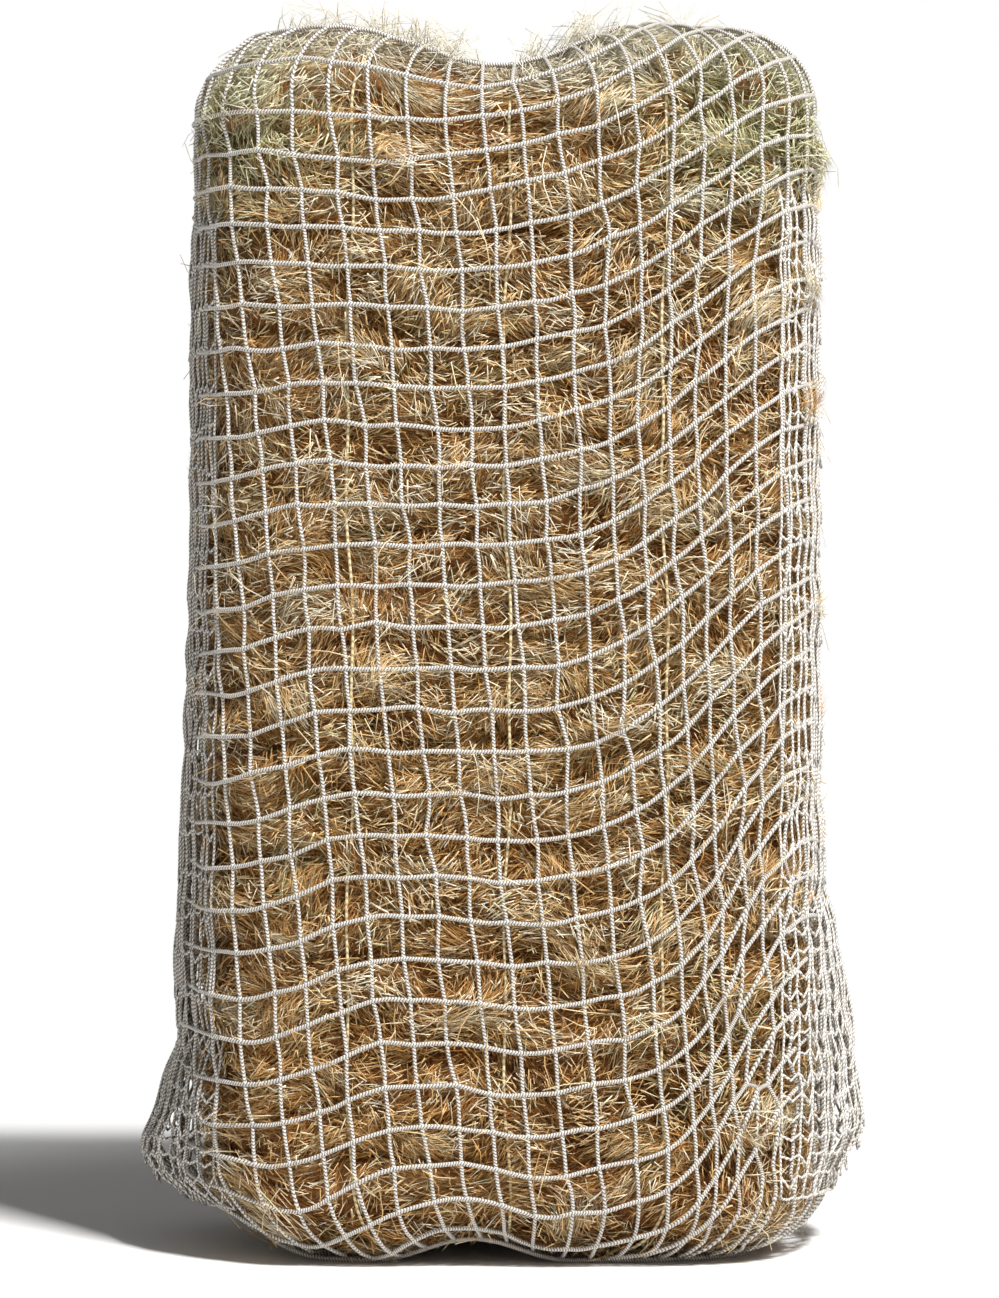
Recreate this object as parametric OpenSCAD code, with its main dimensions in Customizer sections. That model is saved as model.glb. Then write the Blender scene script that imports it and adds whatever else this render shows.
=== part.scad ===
// Hay net: a bag of white square-mesh netting drawn over a three-string hay bale that stands on end.
// Millimetres, +Z up, +X to the right seen from the front, front face towards -Y.
// The origin is under the middle of the bale, on the surface that it stands on.

/* [Bale] */
// Width of the hay, left to right
bale_w = 565; // [500:1:620]
// Depth of the hay, front to back
bale_d = 410; // [370:1:470]
// Height of the standing hay
bale_h = 1120; // [1000:1:1250]
// How square the bale is in plan, 2 is an ellipse
corner_power = 4; // [3:0.1:6]
// Rounding of the hay at its top and bottom edges
hay_edge_r = 84; // [72:1:95]
// Dip of the hay at the middle of the top
top_dip = 36; // [0:1:50]
// Distance from its flat middle over which that dip rises again
top_dip_reach = 130; // [100:1:180]
// Bevel around the face of each flake
flake_bevel = 5; // [1:0.5:8]

/* [Twine] */
// Diameter of the baler twine
twine_d = 2.8; // [1.5:0.1:4]
// Distance between neighbouring twines
twine_spacing = 142; // [110:1:160]

/* [Netting] */
// Diameter of the netting cord
cord_d = 4.4; // [3:0.1:6]
// Spaces between the cords drawn across each sheet
sheet_columns = 11; // [9:1:12]
// Spaces between the cords drawn down each sheet
sheet_rows = 15; // [13:1:16]
// Slack that holds the netting off the twine
net_slack = 1.2; // [1:0.1:3]
// Rounding of the netting over the top and bottom edges
net_edge_r = 66; // [55:1:70]
// Share of the top that the drawn mouth leaves open
mouth_share = 0.28; // [0.2:0.01:0.4]

/* [Drape] */
// Lift of the rows at the right front corner
right_lift = 127; // [0:1:140]
// Distance from the middle of the front at which that lift starts
lift_start = 14; // [0:1:70]
// Distance from the middle of the front at which that lift is full
lift_full = 270; // [220:1:310]
// Drop of the rows at the lower left corner
left_drop = 48; // [0:1:60]
// Distance from the middle of the front at which that drop starts
drop_start = 72; // [30:1:120]
// Distance from the middle of the front at which that drop is full
drop_full = 258; // [220:1:310]
// Distance round the bale over which lift and drop die away again
drape_fade = 480; // [360:1:570]
// Length of the side, above the foot, over which lift and drop ease to nothing
drape_foot = 264; // [200:1:360]
// Lean of the front columns, sideways run for each unit of fall
column_lean = 0.08; // [0:0.01:0.1]
// Half width of the front over which the columns lean fully
lean_flat = 120; // [70:1:130]
// Half width of the front past which the columns are upright
lean_end = 240; // [180:1:260]

/* [Seams and rope] */
// Diameter of the cord that laces each side seam
lacing_d = 4.4; // [3:0.1:6]
// Diameter of the rope drawn through the mouth
rope_d = 6; // [4:0.1:8]

/* [Corner ears] */
// How far a slack corner stands out from the side netting
ear_out = 37; // [20:1:50]
// Height of the slack left corner
ear_left_h = 180; // [130:1:260]
// Height of the slack right corner
ear_right_h = 240; // [130:1:260]
// Half width of a slack corner at its foot
ear_half_w = 156; // [110:1:180]
// Half width of a slack corner at its tip
ear_tip_w = 31; // [24:1:48]

/* [Fits] */
// Gap left between pieces that lie against each other
seat_gap = 0.3; // [0.2:0.05:0.5]

/* [Hidden] */
FLAKES = ["flake_01", "flake_02", "flake_03", "flake_04", "flake_05", "flake_06",
          "flake_07", "flake_08", "flake_09", "flake_10", "flake_11", "flake_12"];

hay_colour = "#b3924f";
hay_dark_colour = "#9a7a3f";
twine_colour = "#d9d0b4";
net_colour = "#f1f0ec";

half_w = bale_w / 2;
half_d = bale_d / 2;
// The netting lies outside the twine, and the twine outside the hay
twine_room = twine_d + 2 * seat_gap;
net_in = twine_room + net_slack;
net_out = net_in + cord_d;
hay_z = cord_d + twine_room;
hay_top = hay_z + bale_h;
flake_h = bale_h / len(FLAKES);
edge_steps = 4;

// Distance round the bale, from the middle of the front towards the right
turn_step = 3;
function outline_r(turn, wx, wy) =
    pow(pow(abs(cos(turn)) / wx, corner_power) + pow(abs(sin(turn)) / wy, corner_power),
        -1 / corner_power);
function outline_xy(turn, wx, wy) = outline_r(turn, wx, wy) * [cos(turn), sin(turn)];
outline_turns = [for (t = [-90:turn_step:270]) t];
outline_points = [for (t = outline_turns) outline_xy(t, half_w, half_d)];
outline_steps = [for (i = [1:len(outline_points) - 1]) norm(outline_points[i] - outline_points[i - 1])];
function running(list, i = 0, sum = 0) =
    i == len(list) ? [sum] : concat([sum], running(list, i + 1, sum + list[i]));
outline_lengths = running(outline_steps);
perimeter = outline_lengths[len(outline_lengths) - 1];
turn_table = [for (i = [0:len(outline_turns) - 1]) [outline_lengths[i], outline_turns[i]]];
function wrap(s) = s - perimeter * floor(s / perimeter);
function turn_at(s) = lookup(wrap(s), turn_table);

function smooth(t) = let (c = min(1, max(0, t))) c * c * (3 - 2 * c);
// The dip is flat between the two stations beside the middle, so the middle twine lies along it
dip_flat = perimeter / (4 * sheet_columns);
function dip(x) = top_dip * (1 + cos(180 * min(1, max(0, abs(x) - dip_flat) / top_dip_reach))) / 2;
// The dip dies away down the faces of the top flakes
dip_depth = 1.5 * flake_h;
function dipped(p) = [p.x, p.y, p.z - dip(p.x) * smooth((p.z - hay_top + dip_depth) / dip_depth)];

// Course of the netting from the mouth over the top edge, down the side and under the bottom edge
mouth_run = (1 - mouth_share) * ((half_w + half_d) / 2 - net_edge_r);
edge_run = net_edge_r * PI / 2;
side_run = bale_h - 2 * net_edge_r;
foot_turn = 75;
foot_run = net_edge_r * PI * foot_turn / 180;
course = mouth_run + edge_run + side_run + foot_run;
side_start = mouth_run + edge_run;
side_end = side_start + side_run;
function course_scale(q) = q < mouth_run ? mouth_share + (1 - mouth_share) * q / mouth_run : 1;
function course_lean(q) =
    q < mouth_run ? 0 :
    q < side_start ? 90 * (q - mouth_run) / edge_run :
    q < side_end ? 90 :
    90 + foot_turn * (q - side_end) / foot_run;
function course_z(q) =
    q < side_start ? hay_top - net_edge_r :
    q < side_end ? hay_top - net_edge_r - (q - side_start) :
    hay_z + net_edge_r;

// Point at a distance round the bale and along the course, raised by off from the hay
function net_point(s, q, off) =
    let (lean = course_lean(q),
         r = net_edge_r + off,
         grow = -net_edge_r + r * sin(lean),
         k = course_scale(q),
         xy = outline_xy(turn_at(s), (half_w + grow) * k, (half_d + grow) * k))
    dipped([xy.x, xy.y, course_z(q) + r * cos(lean)]);

// Drape: rows pulled up at the right front corner and slack at the lower left, columns leaning
function from_front(s) = wrap(s) > perimeter / 2 ? wrap(s) - perimeter : wrap(s);
function hump(s, start, full) =
    smooth((s - start) / (full - start)) * (1 - smooth((s - full) / drape_fade));
function row_hold(q) =
    smooth((q - mouth_run / 2) / (1.5 * side_start)) * smooth((side_end - q) / drape_foot);
function row_lift(s, q) =
    let (f = from_front(s),
         lift = right_lift * hump(f, lift_start, lift_full),
         drop = left_drop * hump(-f, drop_start, drop_full) * smooth((q - side_start) / side_run))
    row_hold(q) * (lift - drop);
function column_hold(s, q) =
    (1 - smooth((abs(s) - lean_flat) / (lean_end - lean_flat))) *
    smooth((q - mouth_run / 2) / side_start) * smooth((course - q) / drape_foot);
function column_shift(s, q) = column_lean * (q - course / 2) * column_hold(from_front(s), q);
function draped_point(s, aside, q, off) =
    net_point(s + column_shift(s, q) + aside / course_scale(q), q - row_lift(s, q), off);

// Sheet of netting: cells between grid lines are solid in a cord's band and open elsewhere
// across and down are lists of [line, in a cord up to the next line]
module netting(across, down, at) {
    na = len(across);
    nd = len(down);
    points = [for (i = [0:na - 1], j = [0:nd - 1], off = [net_in, net_out])
        at(across[i][0], down[j][0], off)];
    function id(i, j, out) = (i * nd + j) * 2 + out;
    function inside(i, j) = i >= 0 && j >= 0 && i < na - 1 && j < nd - 1;
    function solid(i, j) = inside(i, j) && (across[i][1] || down[j][1]);
    function flip(quad, turned) = turned ? [quad[3], quad[2], quad[1], quad[0]] : quad;
    faces_out = [for (i = [0:na - 2], j = [0:nd - 2], out = [0, 1]) if (solid(i, j))
        flip([id(i, j, out), id(i + 1, j, out), id(i + 1, j + 1, out), id(i, j + 1, out)], out == 0)];
    walls_down = [for (i = [0:na - 1], j = [0:nd - 2]) if (solid(i - 1, j) != solid(i, j))
        flip([id(i, j, 0), id(i, j, 1), id(i, j + 1, 1), id(i, j + 1, 0)], solid(i - 1, j))];
    walls_across = [for (i = [0:na - 2], j = [0:nd - 1]) if (solid(i, j - 1) != solid(i, j))
        flip([id(i, j, 0), id(i + 1, j, 0), id(i + 1, j, 1), id(i, j, 1)], solid(i, j - 1))];
    quads = concat(faces_out, walls_down, walls_across);
    triangles = [for (f = quads, t = [[f[0], f[1], f[2]], [f[0], f[2], f[3]]]) t];
    polyhedron(points, triangles);
}

// Tube along a path, with its rings turned to a fixed side direction
module tube(path, r, side, sides = 8, closed = false) {
    n = len(path);
    function unit(v) = v / norm(v);
    function along(i) = unit(closed ? path[(i + 1) % n] - path[(i + n - 1) % n] :
        path[min(n - 1, i + 1)] - path[max(0, i - 1)]);
    points = [for (i = [0:n - 1])
        let (t = along(i), u = unit(side - (side * t) * t), v = cross(t, u))
        for (k = [0:sides - 1]) path[i] + r * (cos(360 * k / sides) * u + sin(360 * k / sides) * v)];
    spans = closed ? n : n - 1;
    walls = [for (i = [0:spans - 1], k = [0:sides - 1])
        let (a = i * sides + k, b = i * sides + (k + 1) % sides,
             c = ((i + 1) % n) * sides + (k + 1) % sides, d = ((i + 1) % n) * sides + k)
        for (t = [[a, d, c], [a, c, b]]) t];
    start = [for (k = [0:sides - 1]) k];
    end = [for (k = [sides - 1:-1:0]) (n - 1) * sides + k];
    polyhedron(points, closed ? walls : concat(walls, [start, end]));
}

// Places round the bale where a column of the netting runs, and a ring of points there
stations = 2 * sheet_columns;
function ring_xy(grow, scale) = [for (i = [0:stations - 1])
    outline_xy(turn_at(perimeter * (i / stations - 0.25)), (half_w + grow) * scale, (half_d + grow) * scale)];

// Solid through rings of [grow, scale, z] round the bale
module stack(rings) {
    function ring_points(r) = [for (p = ring_xy(r[0], r[1])) dipped([p.x, p.y, r[2]])];
    n = len(rings);
    middle_z = rings[n - 1][2];
    points = concat([for (r = rings) each ring_points(r)], [[0, 0, rings[0][2]], dipped([0, 0, middle_z])]);
    walls = [for (j = [0:n - 2], i = [0:stations - 1])
        let (a = j * stations + i, b = j * stations + (i + 1) % stations)
        for (t = [[a, a + stations, b + stations], [a, b + stations, b]]) t];
    foot = [for (i = [0:stations - 1]) [n * stations, i, (i + 1) % stations]];
    cap = [for (i = [0:stations - 1])
        [n * stations + 1, (n - 1) * stations + (i + 1) % stations, (n - 1) * stations + i]];
    polyhedron(points, concat(walls, foot, cap));
}

// Rings of the rounded edge of the hay, from flat to upright
function edge_rings(centre_z, up) = [for (i = [0:edge_steps])
    let (lean = 90 * i / edge_steps)
    [hay_edge_r * (sin(lean) - 1), 1, centre_z + up * hay_edge_r * cos(lean)]];
function turned(list) = [for (i = [len(list) - 1:-1:0]) list[i]];

bevel_h = 2 * flake_bevel;
top_ring_share = 0.5;
module flake(i) {
    low = hay_z + i * flake_h + seat_gap / 2;
    high = low + flake_h - seat_gap;
    foot = [[-flake_bevel, 1, low], [0, 1, low + bevel_h]];
    head = [[0, 1, high - bevel_h], [-flake_bevel, 1, high]];
    foot_edge = edge_rings(hay_z + hay_edge_r, -1);
    head_edge = turned(edge_rings(hay_top - hay_edge_r, 1));
    top = [[-hay_edge_r, top_ring_share, hay_top]];
    color(i % 2 == 0 ? hay_colour : hay_dark_colour)
        stack(i == 0 ? concat(foot_edge, [head[1]]) :
              i == len(FLAKES) - 1 ? concat([foot[0]], head_edge, top) :
              concat(foot, head));
}

// Twine loop round the bale in an upright plane, over the same edge steps as the hay
function twine_path(x) =
    let (off = twine_d / 2 + seat_gap,
         arc = [for (i = [0:edge_steps])
             let (lean = 90 * i / edge_steps, grow = -hay_edge_r + (hay_edge_r + off) * sin(lean))
             [(half_d + grow) * pow(1 - pow(abs(x) / (half_w + grow), corner_power), 1 / corner_power),
              (hay_edge_r + off) * cos(lean)]],
         head = [for (p = arc) [p[0], hay_top - hay_edge_r + p[1]]],
         foot = [for (p = turned(arc)) [p[0], hay_z + hay_edge_r - p[1]]],
         half = concat(head, foot))
    [for (p = concat([for (h = half) [-h[0], h[1]]], turned(half))) dipped([x, p[0], p[1]])];

module twine(x) {
    color(twine_colour) tube(twine_path(x), twine_d / 2, [1, 0, 0], closed = true);
}
module left_twine() { twine(-twine_spacing); }
module middle_twine() { twine(0); }
module right_twine() { twine(twine_spacing); }

// Grid lines of a sheet, its outer columns held back from the seam for the lacing cord
band = cord_d / 2;
seam_back = lacing_d / 2 + seat_gap + band;
function column_lines(middle) = [for (i = [0:sheet_columns])
    let (s = middle + perimeter * (i / sheet_columns - 0.5) / 2,
         back = i == 0 ? seam_back : i == sheet_columns ? -seam_back : 0)
    each [[[s, back - band], true], [[s, back + band], false]]];
row_pitch = (course - cord_d) / sheet_rows;
// Rows near the rounded edges get a line half way, so that the cords follow the round
edge_rows_top = 5;
edge_rows_foot = 1;
function row_lines() = [for (j = [0:sheet_rows])
    let (q = j * row_pitch,
         halfway = j > 0 && j < edge_rows_top || j < sheet_rows && j >= sheet_rows - edge_rows_foot)
    each concat([[q, true], [q + cord_d, false]], halfway ? [[q + (row_pitch + cord_d) / 2, false]] : [])];
module sheet(middle) {
    color(net_colour)
        netting(column_lines(middle), row_lines(), function(u, q, off) draped_point(u[0], u[1], q, off));
}
module front_netting() { sheet(0); }
module back_netting() { sheet(perimeter / 2); }

// Closed end of the bag under the bale: cords that cross, flat on the surface
base_grow = -net_edge_r + (net_edge_r + net_in) * sin(90 + foot_turn) - seat_gap;
module base_netting() {
    pitch = perimeter / stations;
    wx = half_w + base_grow;
    wy = half_d + base_grow;
    nx = floor(wx / pitch);
    ny = floor(wy / pitch);
    color(net_colour) linear_extrude(cord_d) intersection() {
        polygon(ring_xy(base_grow, 1));
        union() {
            for (i = [-nx:nx]) translate([i * pitch - band, -wy]) square([cord_d, 2 * wy]);
            for (i = [-ny:ny]) translate([-wx, i * pitch - band]) square([2 * wx, cord_d]);
        }
    }
}

// Slack corner of the bag: a tent of netting that stands out from the side along the seam
ear_columns = 4;
ear_rows = 4;
ear_foot = course - 0.6 * foot_run;
function ear_point(middle, height, u, t, off) =
    let (out = ear_out * sin(180 * sqrt(t[0])) * (1 - abs(u[0])),
         half = ear_half_w + (ear_tip_w - ear_half_w) * t[0])
    net_point(middle + u[0] * half + u[1], ear_foot - t[0] * height - t[1], cord_d + seat_gap + out + off);
module ear(middle, height) {
    across = [for (i = [0:ear_columns]) let (u = 2 * i / ear_columns - 1)
        each [[[u, -band], true], [[u, band], false]]];
    down = [for (j = [ear_rows:-1:0]) each [[[j / ear_rows, band], true], [[j / ear_rows, -band], false]]];
    color(net_colour)
        netting(across, down, function(u, t, off) ear_point(middle, height, u, t, off));
}
module left_ear() { ear(-perimeter / 4, ear_left_h); }
module right_ear() { ear(perimeter / 4, ear_right_h); }

// Cord that laces the two sheets together down the middle of a side
lacing_end = side_end + foot_run / 2;
lacing_stops = concat([0, mouth_run / 2],
    [for (i = [0:edge_steps]) mouth_run + edge_run * i / edge_steps],
    [for (i = [1:3]) side_start + side_run * i / 3],
    [for (i = [1:2]) side_end + (lacing_end - side_end) * i / 2]);
module lacing(middle) {
    color(net_colour)
        tube([for (q = lacing_stops) net_point(middle, q, net_in + cord_d / 2)], lacing_d / 2, [0, 1, 0]);
}
module left_seam_lacing() { lacing(-perimeter / 4); }
module right_seam_lacing() { lacing(perimeter / 4); }

// Rope through the edge meshes of the mouth, drawn in on top of the bale
rope_rings = 40;
module mouth_rope() {
    path = [for (i = [0:rope_rings - 1])
        net_point(perimeter * i / rope_rings, band, net_out + seat_gap + rope_d / 2)];
    color(net_colour) tube(path, rope_d / 2, [0, 0, 1], closed = true);
}

for (i = [0:len(FLAKES) - 1]) flake(i);
left_twine();
middle_twine();
right_twine();
front_netting();
back_netting();
base_netting();
left_ear();
right_ear();
left_seam_lacing();
right_seam_lacing();
mouth_rope();
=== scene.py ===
# %% [markdown]
# # A netted hay bale
# A three-string bale stands on end inside a white, square-mesh hay net. Horses pull the hay out
# through the meshes a little at a time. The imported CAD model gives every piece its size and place.
# This lesson dresses each piece as what it is: twelve pressed flakes of dry grass, three loops of
# twine, two net sheets laced along both sides, a net base, two slack corners and a mouth rope.

import math

import bpy
import numpy as np
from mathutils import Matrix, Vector


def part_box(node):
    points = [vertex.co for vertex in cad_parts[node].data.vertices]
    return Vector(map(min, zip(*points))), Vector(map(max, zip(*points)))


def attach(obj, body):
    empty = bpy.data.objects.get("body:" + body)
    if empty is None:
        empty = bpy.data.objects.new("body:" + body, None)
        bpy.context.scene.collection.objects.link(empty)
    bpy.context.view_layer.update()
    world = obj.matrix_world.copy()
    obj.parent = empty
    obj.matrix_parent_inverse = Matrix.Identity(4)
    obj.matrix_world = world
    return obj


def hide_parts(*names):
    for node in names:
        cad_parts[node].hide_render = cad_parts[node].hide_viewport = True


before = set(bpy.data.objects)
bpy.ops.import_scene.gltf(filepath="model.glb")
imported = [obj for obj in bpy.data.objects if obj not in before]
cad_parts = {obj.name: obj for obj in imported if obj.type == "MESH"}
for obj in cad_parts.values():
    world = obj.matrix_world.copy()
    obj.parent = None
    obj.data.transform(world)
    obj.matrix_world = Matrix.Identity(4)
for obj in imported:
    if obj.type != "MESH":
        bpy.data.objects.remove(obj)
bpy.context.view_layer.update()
MM = 0.001

# %% [markdown]
# ## The camera
# The photograph was taken from straight in front, level with the middle of the bale, from a few
# metres away. A long lens at that distance keeps the sides of the bale nearly parallel. The image
# is 999 by 1298 pixels, so its height is the long side, and Blender's sensor width belongs to it.

# %% Set up the camera
photo_height = 1197 * MM
photo_centre = Vector((-7 * MM, -120 * MM, 561 * MM))
camera_away = 3.85

camera_data = bpy.data.cameras.new("camera")
camera_data.sensor_width = 36
camera_data.lens = camera_data.sensor_width * camera_away / photo_height
camera = bpy.data.objects.new("camera", camera_data)
camera.location = photo_centre - Vector((0, camera_away, 0))
camera.rotation_euler = (math.radians(90), 0, 0)
bpy.context.scene.collection.objects.link(camera)
bpy.context.scene.camera = camera
print("lens in mm:", round(camera_data.lens))

# %% [markdown]
# ## The bale's own sizes
# All shapes below wrap one form: a block of hay whose plan is a square with soft, swollen corners.
# Its sizes are read from the CAD flakes, so the dressed piece always fits the frame.

# %% Read the bale's sizes
FLAKES = 12
flake_nodes = ["flake_%02d" % (k + 1) for k in range(FLAKES)]
flake_low = np.array([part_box(node)[0].z / MM for node in flake_nodes])
flake_high = np.array([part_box(node)[1].z / MM for node in flake_nodes])
half_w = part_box("flake_06")[1].x / MM
half_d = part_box("flake_06")[1].y / MM
hay_low = flake_low[0]
hay_top = flake_high[-1]
corner_power = 4
hay_edge_r = 74
net_edge_r = 66
print("hay in mm:", round(2 * half_w), round(2 * half_d), round(hay_top - hay_low))

# %% [markdown]
# ## Wrapping paper for a bale
# Every stem and every cord is drawn on the bale as on a wrapped parcel. One number says how far
# round the bale a point lies, measured from the middle of the front, and one says how far down
# from the rim of the top. A third lifts the point off the hay. Working on such a map is easier
# than on points in space, because a straight line on the map follows the bale round its corners.

# %% Measure round the bale's outline
def outline_xy(turn, wide, deep):
    c = np.cos(turn)
    s = np.sin(turn)
    r = ((np.abs(c) / wide) ** corner_power + (np.abs(s) / deep) ** corner_power)
    r = r ** (-1 / corner_power)
    return r * c, r * s


TURN_STEPS = 1440
turn_steps = np.radians(np.linspace(-90, 270, TURN_STEPS + 1))
outline_x, outline_y = outline_xy(turn_steps, half_w, half_d)
step_lengths = np.hypot(np.diff(outline_x), np.diff(outline_y))
round_steps = np.concatenate([[0], np.cumsum(step_lengths)])
girth = round_steps[-1]
seam = girth / 4


def turn_at(around):
    return np.interp(np.mod(around, girth), round_steps, turn_steps)


def from_front(around):
    return np.mod(around + girth / 2, girth) - girth / 2


print("girth in mm:", round(girth))

# %% [markdown]
# A bale isn't a clean block. The middle string pulls a dip into its top and a notch into its foot,
# the left shoulder has slumped, and the left end of the foot is worn round. These shifts are
# upright and die away along the faces.

# %% Settling of the hay
top_dip = 36
top_dip_x = -8
top_dip_reach = 150
foot_notch = 20
foot_notch_x = -32
foot_notch_reach = 90
shoulder_drop = 10
shoulder_x = -225
shoulder_run = 50
corner_lift = 30
corner_x = -165
corner_run = 115
settle_depth = 140


def ease(t):
    t = np.clip(t, 0, 1)
    return t * t * (3 - 2 * t)


def swell(x, middle, reach):
    return (1 + np.cos(np.pi * np.minimum(1, np.abs(x - middle) / reach))) / 2


def foot_lift(x):
    notch = foot_notch * swell(x, foot_notch_x, foot_notch_reach)
    return notch + corner_lift * ease((corner_x - x) / corner_run)


def settled(x, z):
    drop = top_dip * swell(x, top_dip_x, top_dip_reach)
    drop = drop + shoulder_drop * ease((shoulder_x - x) / shoulder_run)
    drop = drop * ease(1 - (hay_top - z) / settle_depth)
    return z - drop + foot_lift(x) * ease(1 - z / settle_depth)


print("top over the middle string in mm:", round(float(settled(0, hay_top))))

# %% [markdown]
# The map runs over the flat top, round the rim, down the side, round the foot and under the bale.

# %% The wrap
least_share = 0.001


def runs(edge):
    rim = edge * math.pi / 2
    side = hay_top - hay_low - 2 * edge
    return (half_w + half_d) / 2 - edge, rim, side


def flat_share(down, edge):
    flat, rim, side = runs(edge)
    over = np.maximum(-down, down - 2 * rim - side)
    return np.clip(1 - np.maximum(over, 0) / flat, least_share, 1)


def unit(v):
    return v / np.maximum(np.linalg.norm(v, axis=-1, keepdims=True), 1e-9)


def wrap(around, down, off, edge):
    around, down, off = np.broadcast_arrays(around, down, off)
    rim, side = runs(edge)[1:]
    on_rim = np.clip(down, 0, rim)
    on_side = np.clip(down - rim, 0, side)
    on_foot = np.clip(down - rim - side, 0, rim)
    lean = (on_rim + on_foot) / edge
    inset = edge * (1 - np.sin(lean))
    x, y = outline_xy(turn_at(around), half_w - inset, half_d - inset)
    power = corner_power - 1
    normal = unit(np.stack([(x / half_w) ** power / half_w, (y / half_d) ** power / half_d], -1))
    level = np.where(on_foot > 0, hay_low + edge, hay_top - edge - on_side)
    z = level + (edge + off) * np.cos(lean)
    plan = np.stack([x, y], -1) * flat_share(down, edge)[..., None]
    plan = plan + normal * (off * np.sin(lean))[..., None]
    return np.concatenate([plan, settled(plan[..., 0], z)[..., None]], -1)


def outward(around, down, off, edge):
    return unit(wrap(around, down, off + 1, edge) - wrap(around, down, off, edge))


def down_at(z, edge):
    return runs(edge)[1] + hay_top - edge - z


print("front middle, half way down:", wrap(0.0, down_at(560, hay_edge_r), 0.0, hay_edge_r).round())

# %% [markdown]
# ## Mesh builder
# The bale holds half a million stems and leaves, so meshes are filled from whole arrays at once.
# Adding faces one by one with bmesh would take minutes. Each face corner also gets a place in a
# UV map. The finishes read nothing but that map, so a stem or a bar of cord keeps its look
# wherever it lies.

# %% Build a piece
SEED = 20
rng = np.random.default_rng(SEED)


def corner_map(*corners):
    return np.stack([np.stack(corner, -1) for corner in corners], -2)


def add_piece(name, node, parts, finish):
    points = np.concatenate([part[0] for part in parts])
    shift = np.cumsum([0] + [len(part[0]) for part in parts])
    faces = [face + shift[k] for k, part in enumerate(parts) for face in part[1]]
    maps = [corner for part in parts for corner in part[2]]
    sizes = np.concatenate([np.full(len(face), face.shape[1]) for face in faces])
    mesh = bpy.data.meshes.new(name)
    mesh.vertices.add(len(points))
    mesh.vertices.foreach_set("co", (points * MM).astype(np.float32).ravel())
    mesh.loops.add(int(sizes.sum()))
    corners = np.concatenate([face.ravel() for face in faces])
    mesh.loops.foreach_set("vertex_index", corners.astype(np.int32))
    mesh.polygons.add(len(sizes))
    starts = np.concatenate([[0], np.cumsum(sizes)[:-1]])
    mesh.polygons.foreach_set("loop_start", starts.astype(np.int32))
    mesh.polygons.foreach_set("use_smooth", np.ones(len(sizes), bool))
    layer = mesh.uv_layers.new(name="OFBake")
    flat_map = np.concatenate([corner.reshape(-1, 2) for corner in maps])
    layer.uv.foreach_set("vector", flat_map.astype(np.float32).ravel())
    mesh.update(calc_edges=True)
    mesh.materials.append(finish)
    piece = bpy.data.objects.new(name, mesh)
    bpy.context.scene.collection.objects.link(piece)
    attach(piece, "root")
    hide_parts(node)
    print(name, "faces:", len(sizes))


print("random draws start from seed", SEED)

# %% [markdown]
# ## Colours and nodes
# Hex colours are the numbers a painter reads off a screen. The shader adds light, so it needs
# them in linear form. One function turns the first into the second, and one adds a node.

# %% Colour and node helpers
def colour(code):
    parts = [int(code[k:k + 2], 16) / 255 for k in (0, 2, 4)]
    linear = [p / 12.92 if p <= 0.04045 else ((p + 0.055) / 1.055) ** 2.4 for p in parts]
    return (*linear, 1)


def new_finish(name):
    finish = bpy.data.materials.new(name)
    finish.use_nodes = True
    return finish, finish.node_tree, finish.node_tree.nodes["Principled BSDF"]


def add_node(tree, kind, links=(), inputs=(), **settings):
    node = tree.nodes.new(kind)
    for key, value in settings.items():
        setattr(node, key, value)
    for key, value in dict(inputs).items():
        node.inputs[key].default_value = value
    for source, key in links:
        tree.links.new(source, node.inputs[key])
    return node


def set_stops(ramp, stops):
    band = ramp.color_ramp
    while len(band.elements) < len(stops):
        band.elements.new(1)
    for element, (place, code) in zip(band.elements, stops):
        element.position = place
        element.color = colour(code)


print("mid grey as linear light:", round(colour("808080")[0], 3))

# %% [markdown]
# ## Dried meadow grass
# Hay is cut grass dried in the sun. Stems that dried on top are bleached to pale straw, those from
# inside the swath stay golden or brown, and leafy ones keep a grey green. A dry stem is a matt,
# waxy tube with fine lengthwise ribs. The map's U axis picks the tone of a stem: the left half
# runs from brown to straw, the right half from olive to pale green. V runs along the stem, from
# the buried end, painted darker as shade among the hay, to the bleached tip. A real stem has
# twenty ribs or more. Three are drawn, because finer ones would be lost at this distance.

# %% The hay finish
hay_finish, tree, shader = new_finish("dried_meadow_grass")
hay_map = add_node(tree, "ShaderNodeUVMap", uv_map="OFBake")
hay_axes = add_node(tree, "ShaderNodeSeparateXYZ", [(hay_map.outputs["UV"], "Vector")])
hay_tones = add_node(tree, "ShaderNodeValToRGB", [(hay_axes.outputs["X"], "Fac")])
set_stops(hay_tones, [
    (0.00, "6E3F14"), (0.10, "9C5F22"), (0.20, "C28A41"), (0.30, "DCB477"),
    (0.40, "ECDBB4"), (0.495, "F8F3E2"), (0.505, "5E5A2E"), (0.62, "928C52"),
    (0.75, "C0B980"), (0.88, "E0DCAE"), (1.00, "F4F1D8"),
])
RIBS_PER_STEM = 3
STEM_U = 0.018
rib_stretch = add_node(
    tree, "ShaderNodeMapping", [(hay_map.outputs["UV"], "Vector")],
    {"Scale": (RIBS_PER_STEM / STEM_U, 2, 1)})
ribs = add_node(
    tree, "ShaderNodeTexNoise", [(rib_stretch.outputs["Vector"], "Vector")],
    {"Scale": 1.0, "Detail": 2.0}, noise_dimensions="2D")
rib_shade = add_node(tree, "ShaderNodeMapRange", [(ribs.outputs["Fac"], "Value")],
                     {"From Min": 0.3, "From Max": 0.7, "To Min": 0.72, "To Max": 1.12})
# Painted shade darkens the buried end of each stem; the paler tip is sun bleaching.
tip_shade = add_node(tree, "ShaderNodeMapRange", [(hay_axes.outputs["Y"], "Value")],
                     {"To Min": 0.68, "To Max": 1.22})
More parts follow.
